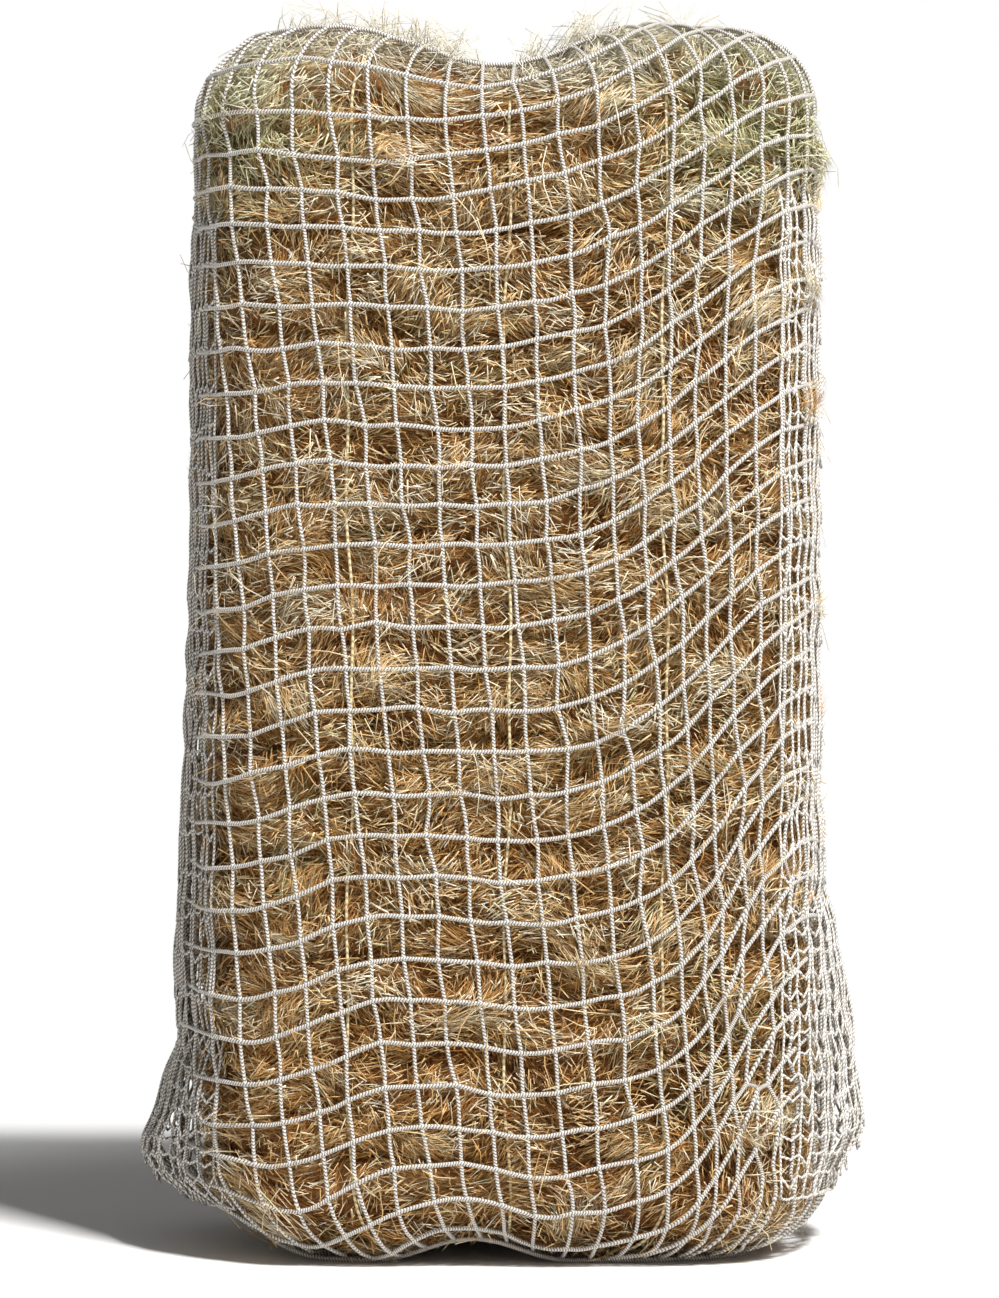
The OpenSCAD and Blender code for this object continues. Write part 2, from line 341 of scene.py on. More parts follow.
stem_shade = add_node(
    tree, "ShaderNodeMath", [(rib_shade.outputs["Result"], 0), (tip_shade.outputs["Result"], 1)],
    operation="MULTIPLY")
hay_colour = add_node(
    tree, "ShaderNodeVectorMath",
    [(hay_tones.outputs["Color"], "Vector"), (stem_shade.outputs[0], "Scale")], operation="SCALE")
tree.links.new(hay_colour.outputs["Vector"], shader.inputs["Base Color"])
rib_bump = add_node(tree, "ShaderNodeBump", [(ribs.outputs["Fac"], "Height")],
                    {"Strength": 0.35, "Distance": 0.4 * MM})
tree.links.new(rib_bump.outputs["Normal"], shader.inputs["Normal"])
shader.inputs["Roughness"].default_value = 0.62
shader.inputs["IOR"].default_value = 1.45
print("hay tones:", len(hay_tones.color_ramp.elements))

# %% [markdown]
# ## The pressed flakes
# A baler packs the grass in slices. Each slice, or flake, is a matted core with stems lying every
# way on its skin, most of them along the flake. So its lumps are long and flat, one above another.
# The core is a lumpy closed drum, dark because little light gets in, and the stems cover it
# several layers deep. At the four corners the loose hay bulges out through the meshes. Hair
# particles would give strands too, but they have no closed mesh to export, so every stem is a thin
# solid of its own.

# %% Lumps and grooves of the hay
# Each wave fits 3 to 18 times round the bale and repeats every 42 to 150 mm upwards.
wave_count = 20
waves_round = rng.integers(3, 19, wave_count) * rng.choice([-1, 1], wave_count)
waves_down = 2 * np.pi / rng.uniform(42, 150, wave_count)
wave_start = rng.uniform(0, 2 * np.pi, wave_count)
wave_tall = rng.uniform(0.6, 1.5, wave_count)
groove_deep = 7
groove_wide = 8
groove_wander = 6
# A bulge: its place from the front middle, its height, its two reaches and how far it stands out.
BULGES = [(238, 78, 48, 52, 8), (-235, 70, 70, 48, 6), (-255, 1060, 60, 45, 5),
          (330, 1022, 60, 36, 13)]


def lumps(around, z):
    total = np.zeros(np.broadcast(around, z).shape)
    for n, k, start, tall in zip(waves_round, waves_down, wave_start, wave_tall):
        total += tall * np.sin(2 * np.pi * n * around / girth + k * z + start)
    return total


def groove(around, z):
    wander = groove_wander * np.sin(2 * np.pi * 3 * around / girth + z / 110)
    pitch = (hay_top - hay_low) / FLAKES
    from_join = np.abs(np.mod(z + wander - hay_low + pitch / 2, pitch) - pitch / 2)
    return groove_deep * np.exp(-(from_join / groove_wide) ** 2)


def bulges(around, z):
    f = from_front(around)
    total = 0 * f
    for spot_f, spot_z, wide, tall, height in BULGES:
        total = total + height * np.exp(-((f - spot_f) / wide) ** 2 - ((z - spot_z) / tall) ** 2)
    return total


def hay_swell(around, z):
    return lumps(around, z) - groove(around, z) + bulges(around, z)


print("lumps in mm:", np.round(np.std(lumps(np.arange(0, girth, 7.0), 480)), 1))

# %% [markdown]
# The core of a flake is a ring of points at several heights, closed over its flat faces.
# The top and bottom flakes follow the bale's rounded rim right to the middle. On the map a core
# lies at the brown end of the tones, as painted shade deep in the hay.

# %% Flake cores
CORE_STEPS = 180
MIDDLE_ROWS = 12
END_ROWS = 34
join_gap = 0.2
core_reach = 0.97
core_sink = 10
core_deepest = -28


def flake_core(k):
    low = down_at(flake_low[k] + join_gap, hay_edge_r)
    high = down_at(flake_high[k] - join_gap, hay_edge_r)
    flat, rim, side = runs(hay_edge_r)
    if k == FLAKES - 1:
        high = -flat * core_reach
    if k == 0:
        low = 2 * rim + side + flat * core_reach
    rows = np.linspace(high, low, END_ROWS if k in (0, FLAKES - 1) else MIDDLE_ROWS)
    around = np.arange(CORE_STEPS) * girth / CORE_STEPS
    grid_around, grid_down = np.meshgrid(around, rows)
    base = wrap(grid_around, grid_down, 0.0, hay_edge_r)
    off = np.clip(hay_swell(grid_around, base[..., 2]) - core_sink, core_deepest, 0)
    rings = wrap(grid_around, grid_down, off, hay_edge_r)
    middle = rings[[0, -1]].mean(1)
    points = np.concatenate([rings.reshape(-1, 3), middle])
    index = np.arange(len(rows) * CORE_STEPS).reshape(len(rows), CORE_STEPS)
    ahead = np.roll(index, -1, 1)
    quads = np.stack([index[:-1], index[1:], ahead[1:], ahead[:-1]], -1).reshape(-1, 4)
    top = np.stack([index[0], ahead[0], np.full(CORE_STEPS, len(points) - 2)], -1)
    foot = np.stack([ahead[-1], index[-1], np.full(CORE_STEPS, len(points) - 1)], -1)
    u = np.arange(CORE_STEPS) / CORE_STEPS
    v = np.linspace(0, 1, len(rows))
    u0, v0 = np.meshgrid(u, v[:-1])
    u1 = u0 + 1 / CORE_STEPS
    v1 = v0 + 1 / (len(rows) - 1)
    quad_map = corner_map((u0, v0), (u0, v1), (u1, v1), (u1, v0))
    cap_map = np.stack([u, 0 * u, u + 0.005, 0 * u, u, 0 * u + 0.02], -1).reshape(-1, 3, 2)
    # The core is painted dark brown: painted shade, since little light gets in between the stems.
    dark = np.array([0.08, 0.4])
    darkest = np.array([0.06, 0.0])
    maps = [quad_map.reshape(-1, 4, 2), cap_map, cap_map[:, [1, 0, 2]]]
    return points, [quads, top, foot], [corner * dark + darkest for corner in maps]


print("core points of one flake:", len(flake_core(5)[0]))

# %% [markdown]
# A stem is a thin three-sided tube with blunt ends, as the mower and the baler's ram leave it. Its
# path is drawn on the wrap map, so it follows the bale, and its tip may rise off the hay. Short
# pieces are straight and need two points. Long wisps have four and bend. All stems of a flake are
# worked out together, one row of an array each.

# %% Stem paths
lowest_off = -26
least_turn = 0.15


def stem_paths(steps, around, down, off, heading, length, bend, rise, most):
    t = np.linspace(-1, 1, steps)[None, :]
    half = length[:, None] / 2
    along = t * half
    across = bend[:, None] * (t * t - 0.35) * half
    c = np.cos(heading)[:, None]
    s = np.sin(heading)[:, None]
    share = np.maximum(flat_share(down, hay_edge_r), least_turn)[:, None]
    at_around = around[:, None] + (along * c - across * s) / share
    at_down = down[:, None] + along * s + across * c
    lift = off[:, None] + rise[:, None] * ease((t + 1) / 2)
    lift = np.clip(lift, lowest_off, most)
    return wrap(at_around, at_down, lift, hay_edge_r), outward(at_around, at_down, lift, hay_edge_r)


print("deepest that a stem may lie in mm:", -lowest_off)

# %% [markdown]
# On the map a stem is a narrow upright strip, one column for each of its sides. Its tone says
# where along U the strip stands.

# %% Stem meshes
STEM_SIDES = 3
STEM_FLAT = 0.7
TIP_WIDTH = 0.7
floor_gap = 0.4
this_side = np.arange(STEM_SIDES)
side_turn = 2 * np.pi * (this_side + 0.25) / STEM_SIDES
side_out = np.cos(side_turn)[:, None]
side_up = STEM_FLAT * np.sin(side_turn)[:, None]
strip = STEM_U / STEM_SIDES
end_corners = np.array([[0, 0], [strip, 0], [strip / 2, 0.05]])


def end_map(tone):
    place = np.tile(end_corners, (len(tone), 1, 1))
    place[..., 0] += (tone - STEM_U / 2)[:, None]
    return place


def stem_meshes(path, up, width, tone):
    count, steps = path.shape[:2]
    ahead = unit(np.gradient(path, axis=1))
    side = unit(np.cross(ahead, up))
    up = np.cross(side, ahead)
    spoke = side[:, :, None] * side_out + up[:, :, None] * side_up
    radius = width[:, None] / 2 * np.linspace(1, TIP_WIDTH, steps)
    points = path[:, :, None] + radius[:, :, None, None] * spoke
    points[..., 2] += np.maximum(0, floor_gap - points[..., 2].min((1, 2)))[:, None, None]
    index = np.arange(count * steps * STEM_SIDES).reshape(count, steps, STEM_SIDES)
    here = index[:, :-1]
    there = index[:, 1:]
    walls = np.stack([here, there, np.roll(there, -1, 2), np.roll(here, -1, 2)], -1)
    u = (tone - STEM_U / 2)[:, None, None] + strip * this_side
    u, v = np.broadcast_arrays(u, np.linspace(0, 1, steps)[None, :, None])
    u0, v0, v1 = u[:, :-1], v[:, :-1], v[:, 1:]
    wall_map = corner_map((u0, v0), (u0, v1), (u0 + strip, v1), (u0 + strip, v0))
    faces = [walls.reshape(-1, 4), index[:, 0], index[:, -1, ::-1]]
    return points.reshape(-1, 3), faces, [wall_map.reshape(-1, 4, 2), end_map(tone), end_map(tone)]


print("a stem takes this share of U:", STEM_U)

# %% [markdown]
# Leaves and thin stems taper to a point. Four triangles are enough for one, so the bale can have
# more than four hundred thousand of them.

# %% Leaf meshes
def leaf_meshes(path, up, width, tone):
    count = len(path)
    ahead = unit(path[:, 1] - path[:, 0])
    side = unit(np.cross(ahead, up[:, 0]))
    up = np.cross(side, ahead)
    spoke = side[:, None] * side_out + up[:, None] * side_up
    points = np.concatenate([path[:, :1] + width[:, None, None] / 2 * spoke, path[:, 1:]], 1)
    points[..., 2] += np.maximum(0, floor_gap - points[..., 2].min(1))[:, None]
    index = np.arange(count * (STEM_SIDES + 1)).reshape(count, STEM_SIDES + 1)
    tip = np.repeat(index[:, STEM_SIDES:], STEM_SIDES, 1)
    walls = np.stack([index[:, this_side], tip, index[:, np.roll(this_side, -1)]], -1)
    u = (tone - STEM_U / 2)[:, None] + strip * this_side
    wall_map = corner_map((u, 0 * u), (u + strip / 2, 0 * u + 1), (u + strip, 0 * u))
    faces = [walls.reshape(-1, 3), index[:, :STEM_SIDES]]
    return points.reshape(-1, 3), faces, [wall_map.reshape(-1, 3, 2), end_map(tone)]


print("triangles in a leaf:", STEM_SIDES + 1)

# %% [markdown]
# Each stem gets its tone where it lies. The two upper corners hold the leafy, olive part of the
# crop. The rim of the top gets painted light from above, and the foot painted shade near the floor.
# What stands proud is paler than the hollows and the joins between flakes, which get painted shade.

# %% Lay stems
# A spot: X and Z of its middle, its reach and its share of olive stems.
OLIVE_SPOTS = [(-250, 1050, 76, 0.9), (236, 1064, 100, 1.1), (-180, 396, 72, 0.2),
               (108, 504, 84, 0.12), (-72, 828, 72, 0.1), (192, 216, 84, 0.15)]
top_light_from = 1035
top_light_run = 80
painted_top_light = 0.4
foot_shade_top = 760
painted_foot_shade = 0.09
relief_shade_tone = 0.018
straw_from = 0.02
olive_from = 0.52
tone_run = 0.46


def olive_share(x, z):
    share = 0.02 + 0 * x
    for spot_x, spot_z, reach, most in OLIVE_SPOTS:
        share = share + most * np.exp(-((x - spot_x) ** 2 + (z - spot_z) ** 2) / reach ** 2)
    return np.clip(share, 0, 0.92)


def lay(make, steps, around, down, off, heading, length, width, bend, rise, light, most=28):
    spot = wrap(around, down, 0.0, hay_edge_r)
    olive = rng.random(len(around)) < olive_share(spot[:, 0], spot[:, 2])
    # Painted light: stems near the rim of the top are made paler, as if lit from above.
    light = light + painted_top_light * ease((spot[:, 2] - top_light_from) / top_light_run)
    # Painted shade: stems are darker towards the foot, near the floor.
    light = light - painted_foot_shade * ease(1 - spot[:, 2] / foot_shade_top)
    proud = hay_swell(around, spot[:, 2])
    # Painted shade: stems in hollows and flake joins are darker, those standing proud paler.
    light = light + relief_shade_tone * proud
    tone = np.where(olive, olive_from, straw_from) + tone_run * np.clip(light, 0.05, 0.97)
    path, up = stem_paths(steps, around, down, off + proud, heading, length, bend, rise, most)
    return make(path, up, width, tone)


upper_right = olive_share(np.array([236.0]), np.array([1064.0]))
print("olive share at the upper right:", upper_right.round(2))

# %% [markdown]
# Most of the hay lies in tufts that share a direction, a tone and a height, like fur brushed
# along gentle curves. Steps of the golden ratio set the tufts out evenly, so none of the core is
# left bare. Wholly random places would leave holes.

# %% Tufts of leaves
# Heights are in mm off the hay. A light of 0 is the brownest stem and 1 the palest.
tuft_wide = 15
tuft_tall = 8.5
tuft_floor = -14
tuft_deep = 9
tuft_rough = 4.0
tuft_light = 0.375
golden = (math.sqrt(5) - 1) / 2


def combed(around, down):
    f = from_front(around)
    return 0.7 * np.sin(f / 23 + 1.3 * np.sin(down / 37)) + 0.5 * np.sin(down / 19 - f / 41)


def spread(count, low, high):
    place = np.arange(count)
    around = girth * np.mod(place * golden + rng.normal(0, 0.004, count), 1)
    return around, low + (high - low) * (place + rng.random(count)) / count


def tufted(count, low, high, tufts):
    tuft = np.arange(count) % tufts
    around, down = spread(tufts, low, high)
    aside = rng.normal(0, tuft_wide, count)
    around = around[tuft] + aside
    down = down[tuft] + rng.normal(0, tuft_tall, count)
    heading = (rng.normal(0, 0.4, tufts) + rng.choice([0, np.pi], tufts))[tuft]
    heading = heading + combed(around, down) + 0.012 * aside + rng.normal(0, 0.2, count)
    depth = rng.random(count)
    lift = rng.normal(0, tuft_rough, tufts)[tuft]
    off = tuft_floor + tuft_deep * depth + lift
    light = rng.normal(tuft_light, 0.13, tufts)[tuft] + rng.normal(0, 0.11, count)
    # Painted shade: deeper stems and sunken tufts are darker, raised tufts paler.
    light = light + 0.3 * (depth - 0.5) + 0.016 * lift
    length = rng.uniform(14, 40, count)
    width = rng.uniform(0.8, 1.4, count)
    rise = rng.uniform(2, 13, count)
    return lay(leaf_meshes, 2, around, down, off, heading, length, width, 0 * off, rise, light)


print("comb half way down the front, degrees:", round(math.degrees(combed(0.0, 560.0))))

# %% [markdown]
# Over the tufts lie bits of straw, thicker and paler than the leaves. The baler's ram breaks a stem
# into pieces that stay close together, so they lie in small fans. One in twenty is a broad stalk.

# %% Strewn straw
straw_light = 0.8
FAN = 4
broad_share = 0.05


def strewn(count, low, high):
    fan = np.arange(count) // FAN
    around, down = spread(count // FAN + 1, low, high)
    heading = combed(around, down) + rng.normal(0, 0.5, len(around))
    heading = heading + rng.choice([0, np.pi], len(around))
    heading = heading[fan] + rng.normal(0, 0.35, count)
    light = rng.normal(straw_light, 0.12, len(around))[fan] + rng.normal(0, 0.1, count)
    around = around[fan] + rng.normal(0, 9, count)
    down = down[fan] + rng.normal(0, 6, count)
    off = rng.uniform(-5, 2, count)
    length = rng.uniform(8, 24, count)
    broad = rng.random(count) < broad_share
    width = np.where(broad, rng.uniform(1.8, 2.6, count), rng.uniform(0.9, 1.4, count))
    rise = rng.uniform(0, 10, count)
    return lay(stem_meshes, 2, around, down, off, heading, length, width, 0 * off, rise, light)


print("straws in a fan:", FAN)

# %% [markdown]
# A few long, bent stems stick out through the meshes. On top stand loose wisps where flakes were
# pulled apart. They grow in clumps round chosen spots of the front rim.

# %% Loose ends and wisps
wisp_light = 0.75
wisp_most = 46
WISP_SPOTS = [-285, -262, -240, -215, -190, -135, -105, -65, 40, 70, 100, 130, 230]


def sticking_out(count, low, high):
    around = rng.uniform(0, girth, count)
    down = rng.uniform(low, high, count)
    off = rng.uniform(-3, 1, count)
    heading = rng.uniform(0, 2 * np.pi, count)
    length = rng.uniform(30, 70, count)
    width = rng.uniform(0.9, 1.5, count)
    bend = rng.normal(0, 0.2, count)
    rise = rng.uniform(10, 24, count)
    light = rng.normal(straw_light, 0.12, count)
    return lay(stem_meshes, 4, around, down, off, heading, length, width, bend, rise, light)


def wisps(count, clumps):
    clump = np.arange(count) % clumps
    around = np.resize(WISP_SPOTS, clumps) + rng.normal(0, 12, clumps)
    around = around[clump] + rng.normal(0, 10, count)
    down = rng.uniform(-50, 32, clumps)[clump] + rng.normal(0, 8, count)
    off = np.full(count, -2.0)
    heading = rng.normal(-0.4, 1.0, clumps)[clump] + rng.normal(0, 0.5, count)
    length = rng.uniform(24, 85, count)
    width = rng.uniform(0.9, 1.5, count)
    bend = rng.normal(0, 0.3, count)
    rise = rng.uniform(8, 44, count)
    light = rng.normal(wisp_light, 0.1, count)
    return lay(stem_meshes, 4, around, down, off, heading, length, width, bend, rise, light,
               wisp_most)


print("spots with wisps:", len(WISP_SPOTS))

# %% [markdown]
# Each flake gets its core and its own hay, and the bottom one a few more loose ends. The flat top
# and the underside are two pieces more, so that no mesh grows too large.

# %% Cover the flakes
hay_flat, hay_rim, hay_side = runs(hay_edge_r)
foot_end = 2 * hay_rim + hay_side
foot_middle = foot_end + hay_flat
top_edge = 10
LEAVES = 34000
TUFTS = 260
STRAWS = 5200
for k in range(FLAKES):
    high = 0 if k == FLAKES - 1 else down_at(flake_high[k], hay_edge_r)
    low = foot_end if k == 0 else down_at(flake_low[k], hay_edge_r)
    parts = [flake_core(k), tufted(LEAVES, high, low, TUFTS), strewn(STRAWS, high, low)]
    parts.append(sticking_out(140 if k == 0 else 60, high, low))
    add_piece("hay_%02d" % (k + 1), flake_nodes[k], parts, hay_finish)
top_parts = [tufted(26000, -hay_flat, top_edge, 200), strewn(5000, -hay_flat, top_edge)]
top_parts.append(wisps(468, 39))
add_piece("hay_top", flake_nodes[-1], top_parts, hay_finish)
foot_parts = [tufted(12000, foot_end, foot_middle, 160), strewn(2000, foot_end, foot_middle)]
add_piece("hay_underside", flake_nodes[0], foot_parts, hay_finish)

# %% [markdown]
# ## Tubes for cords
# Net, lacing, twine and rope are all cords, so one function sweeps a round tube along a path.
# It is closed at both ends. One bar of the net fills the whole UV square: U runs round the cord
# and V along the bar, so one bar's worth of braid serves every bar. Cords without bars repeat the
# square every few steps instead.

# %% Sweep a cord
CORD_SIDES = 8


def bar_map(count, steps, start=0):
    v = (np.arange(count) + start) % steps / steps
    return v, v + 1 / steps


def cord_tube(path, up, radius, v_from, v_to, closed=False, sides=CORD_SIDES):
    if closed:
        ahead = unit(np.roll(path, -1, 0) - np.roll(path, 1, 0))
    else:
        ahead = unit(np.gradient(path, axis=0))
    side = unit(np.cross(ahead, up))
    up = np.cross(side, ahead)
    turn = 2 * np.pi * np.arange(sides) / sides
    spoke = side[:, None] * np.cos(turn)[:, None] + up[:, None] * np.sin(turn)[:, None]
    radius = np.broadcast_to(radius, len(path))[:, None, None]
    points = (path[:, None] + radius * spoke).reshape(-1, 3)
    index = np.arange(len(points)).reshape(-1, sides)
    here = index if closed else index[:-1]
    there = np.roll(index, -1, 0) if closed else index[1:]
    quads = np.stack([here, there, np.roll(there, -1, 1), np.roll(here, -1, 1)], -1)
    u0 = np.broadcast_to(np.arange(sides) / sides, here.shape)
    u1 = u0 + 1 / sides
    v0 = np.broadcast_to(v_from[:, None], here.shape)
    v1 = np.broadcast_to(v_to[:, None], here.shape)
    quad_map = corner_map((u0, v0), (u0, v1), (u1, v1), (u1, v0))
    faces = [quads.reshape(-1, 4)]
    maps = [quad_map.reshape(-1, 4, 2)]
    if not closed:
        disc = 0.5 + 0.1 * np.stack([np.cos(turn), np.sin(turn)], -1)
        faces += [index[:1], index[-1:, ::-1]]
        maps += [disc[None], disc[None]]
    return points, faces, maps


print("sides of a net cord:", CORD_SIDES)

# %% [markdown]
# ## Braided polyester netting
# Knotless netting is braided from white polyester yarn, and where two bars meet their strands
# pass through each other. The yarns cross in small beads, about 3 mm long, that step to and fro in
# neighbouring rows, with gaps between them painted grey as shade. The columns carry the load and
# are drawn thinner than the rows.

# %% The cord finishes
def braid_finish(name, beads_round, beads_along, pale, dark, depth):
    finish, tree, shader = new_finish(name)
    place = add_node(tree, "ShaderNodeUVMap", uv_map="OFBake")
    axes = add_node(tree, "ShaderNodeSeparateXYZ", [(place.outputs["UV"], "Vector")])
    round_phase = add_node(tree, "ShaderNodeMath", [(axes.outputs["X"], 0)],
                           {1: 2 * math.pi * beads_round}, operation="MULTIPLY")
    zigzag = add_node(tree, "ShaderNodeMath", [(round_phase.outputs[0], 0)], operation="SINE")
    along_phase = add_node(tree, "ShaderNodeMath", [(axes.outputs["Y"], 0)],
                           {1: 2 * math.pi * beads_along}, operation="MULTIPLY")
    phase = add_node(tree, "ShaderNodeMath", [(zigzag.outputs[0], 0), (along_phase.outputs[0], 2)],
                     {1: math.pi / 2}, operation="MULTIPLY_ADD")
    wave = add_node(tree, "ShaderNodeMath", [(phase.outputs[0], 0)], operation="SINE")
    bead = add_node(tree, "ShaderNodeMapRange", [(wave.outputs[0], "Value")], {"From Min": -1})
    # The dark stop is painted shade in the gaps between beads or ribs; the bump shapes the same
    # beads.
    tint = add_node(tree, "ShaderNodeValToRGB", [(bead.outputs["Result"], "Fac")])
    set_stops(tint, [(0.08, dark), (0.6, pale)])
    tree.links.new(tint.outputs["Color"], shader.inputs["Base Color"])
    relief = add_node(tree, "ShaderNodeBump", [(bead.outputs["Result"], "Height")],
                      {"Strength": 0.7, "Distance": depth * MM})
    tree.links.new(relief.outputs["Normal"], shader.inputs["Normal"])
    shader.inputs["Roughness"].default_value = 0.5
    shader.inputs["IOR"].default_value = 1.5
    shader.inputs["Sheen Weight"].default_value = 0.15
    return finish


cord_d = 4.4
column_d = 3.6
row_d = 4.3
bar_across = 32.4
bar_down = 37.4
bead_along = 3.1
net_finish = braid_finish("braided_polyester_cord", 2, round(bar_down / bead_along),
                          "D9D4CC", "665F57", 0.6)
print("beads along a bar:", round(bar_down / bead_along))

# %% [markdown]
# ## How the net hangs
# A square net has bars of fixed length, but its meshes shear freely. The photograph shows the rows
# level in the middle, pulled up towards the right, and sagging on the left, more so lower
# down. Near the top they have slipped down a little. So the drape is a map from the net's own bars
# to the bale: rows are lifted by smooth humps, and the columns are spaced along each lifted row by
# the true bar length.

# %% Lift of the rows
mouth_share = 0.28
foot_turn = 75
net_flat, net_rim, net_side = runs(net_edge_r)
mouth_run = (1 - mouth_share) * net_flat
net_course = net_rim + net_side + net_rim * foot_turn / 90
net_mid = 6
right_pull = 190
sag_turn = 0.375


def hump(f, start, full, fade=480):
    return ease((f - start) / (full - start)) * (1 - ease((f - full) / fade))


def row_lift(around, q):
    # f is in mm from the front middle, q in mm of net from the rim, t is the share of the side
    f = from_front(around)
    t = np.clip((q - net_rim) / net_side, 0, 1)
    hold = ease((q + mouth_run) / (1.35 * (net_rim + mouth_run)))
    # Pulled up on the right, more and steeper lower down
    low = ease((t - 0.45) / 0.5)
    bank = 1 / (1 + np.exp(-(f - 176 - 30 * low) / (44 - 18 * low)))
    most = right_pull - 70 + 45 * ease((t - 0.05) / 0.45) + 25 * ease((t - 0.5) / 0.4)
    pull = most * bank * (1 - ease((f - 290) / 480))
    # Sagging on the left, from nearer the middle lower down
    upper = ease((t - 0.12) / 0.26)
    above = np.minimum(0, t - sag_turn)
    below = np.maximum(0, t - sag_turn)
    depth = 18 + 60 * above + 46 * below
    sag = depth * hump(-f, 120 + 60 * upper - 175 * below, 200 + 80 * upper - 90 * below)
    # A shallow wave in the middle, and the rows that slipped down near the top and over the rim
    wave = 12 * t * t * np.exp(-((f - 20) / 55) ** 2)
    past_rim = q - net_rim
    slip = 17 * np.exp(-((f + 47) / 120) ** 2) * ease((0.5 - t) / 0.42)
    slip = slip * ease((past_rim + 40) / 120)
    at_rim = ease((past_rim + 110) / 110) * (1 - ease(past_rim / 150))
    rim_slip = 24 * at_rim * hump(-f, -60, 140)
    return hold * (pull - sag - wave) - slip - rim_slip


print("pull at the right rim in mm:", np.round(row_lift(246.0, np.array([0, 120, 480, 960])), 0))

# %% [markdown]
# The columns start from the one that runs down the middle of the front. Its lean is a gentle
# curve. Near the top the meshes are pulled a little wider. At both side seams the outermost columns
# meet the lacing, so the spacing eases there.

# %% Spacing of the columns
middle_z = 695
middle_x = -61
middle_lean = 0.066
middle_curve = 0.000033
taut = 1.027
top_wider = 0.095
table_margin = 48


def middle_column(q):
    z = hay_top - net_edge_r + net_rim - q
    below = middle_z - z
    return middle_x + middle_lean * below + middle_curve * below * below * np.sign(below)


def stretch(q):
    return taut - top_wider * (1 - ease((q - net_rim) / net_side / 0.42))


table_q = np.arange(-mouth_run, net_course + right_pull, 14.0)
table_s = np.arange(-seam - table_margin, seam + table_margin + 0.1, 4.0)
grid_s, grid_q = np.meshgrid(table_s, table_q)
slope = np.gradient(row_lift(grid_s, grid_q), table_s, axis=1)
steps = stretch(grid_q) * np.sqrt(1 + slope ** 2) * (table_s[1] - table_s[0])
table_m = np.cumsum(steps, 1)
for row, q in enumerate(table_q):
    table_m[row] -= np.interp(middle_column(q), table_s, table_m[row])
edge_m = [np.mean([np.interp(e, table_s, row) for row in table_m]) for e in (-seam, seam)]
first_bar = round(edge_m[0] / bar_across)
last_bar = round(edge_m[1] / bar_across)
print("bars left and right of the middle column:", -first_bar, last_bar)

# %% [markdown]
# The same table gives the place round the bale for any bar and any depth. The back is out of the
# photograph, so its columns are spaced evenly, with a gentle lean.

# %% From the net to the bale
QUARTERS = 4
back_lean = 17
seam_back = cord_d / 2 + 2.5
table_bar = np.arange(first_bar, last_bar + 0.01, 1 / QUARTERS)
table_around = np.zeros((len(table_q), len(table_bar)))
for row, q in enumerate(table_q):
    place = np.interp(table_bar * bar_across, table_m[row], table_s)
    back = seam_back / flat_share(q, net_edge_r)
    off_right = (seam - back) - place[-1]
    off_left = (-seam + back) - place[0]
    right_ease = ease((table_bar / last_bar - 0.5) / 0.5)
    left_ease = ease((table_bar / first_bar - 0.5) / 0.5)
    table_around[row] = place + off_right * right_ease + off_left * left_ease


def between(table, row, column):
    row = np.clip(row, 0, table.shape[0] - 1.001)
    column = np.clip(column, 0, table.shape[1] - 1.001)
    r = row.astype(int)
    c = column.astype(int)
    fr = row - r
    fc = column - c
    top = table[r, c] * (1 - fc) + table[r, c + 1] * fc
    foot = table[r + 1, c] * (1 - fc) + table[r + 1, c + 1] * fc
    return top * (1 - fr) + foot * fr


def front_around(bar, q):
    row = (q - table_q[0]) / (table_q[1] - table_q[0])
    return between(table_around, row, (bar - first_bar) * QUARTERS)


back_bars = round((girth / 2 - 2 * seam_back) * stretch(net_course) / bar_across)


def back_around(bar, q):
    back = seam_back / flat_share(q, net_edge_r)
    lean = back_lean * np.sin(np.pi * bar / back_bars) * np.sin(q / 250)
    return seam + back + (girth / 2 - 2 * back) * bar / back_bars + lean


print("bars on the back:", back_bars)

# %% [markdown]
# The net lies on the lumps of the hay. At both seams the sheets stand off it, more so towards the
# foot, because the bag is too big there. Small random shifts of the crossings keep the net from
# looking machined, and they are larger where it is loose, low on the right.

# %% Off the hay
def net_off(around, down):
    level = wrap(around, down, 0.0, net_edge_r)[..., 2]
    f = from_front(around)
    left = (4 + 17 * ease((720 - level) / 540)) * np.exp(-((f + seam) / 100) ** 2)
    right = 18 * ease((480 - level) / 300) * np.exp(-((f - seam) / 100) ** 2)
    slack = (left + right) * ease(level / 70)
    return net_mid + np.clip(0.3 * lumps(around, level), -3, 4) + slack


def net_spot(place, bar, q, jitter):
    row = (q + mouth_run) / bar_down
    f = from_front(place)
    low = ease((q - net_rim - 0.55 * net_side) / (0.3 * net_side))
    loose = 1 + 1.5 * ease((f - 170) / 60) * low
    shift = [loose * between(layer, row, bar) for layer in jitter]
    around = place + shift[0]
    down = q - row_lift(around, q) + shift[1]
    return around, down, net_off(around, down)


seam_spot = net_off(np.array([-seam]), down_at(np.array([200.0]), net_edge_r))
print("net off the hay at the left seam in mm:", seam_spot.round(1))

# %% [markdown]
# Each bar is swept through five points, and the cord is thicker where columns and rows meet. A cord
# stops where it passes under the foot of the bale.

# %% Lay one cord
BAR_POINTS = np.array([0.0, 0.1, 0.37, 0.63, 0.9])
BAR_ENDS = np.array([0.1, 0.37, 0.63, 0.9, 1.0])
BAR_WIDTHS = np.array([1.2, 1.0, 0.96, 0.96, 1.0])
BAR_STEPS = len(BAR_POINTS)


def on_net(around, down, off):
    return wrap(around, down, off, net_edge_r), outward(around, down, off, net_edge_r)


def kept_runs(keep):
    edges = np.flatnonzero(np.diff(np.concatenate([[0], keep.astype(int), [0]])))
    return [(a, b) for a, b in edges.reshape(-1, 2) if b - a > 2]


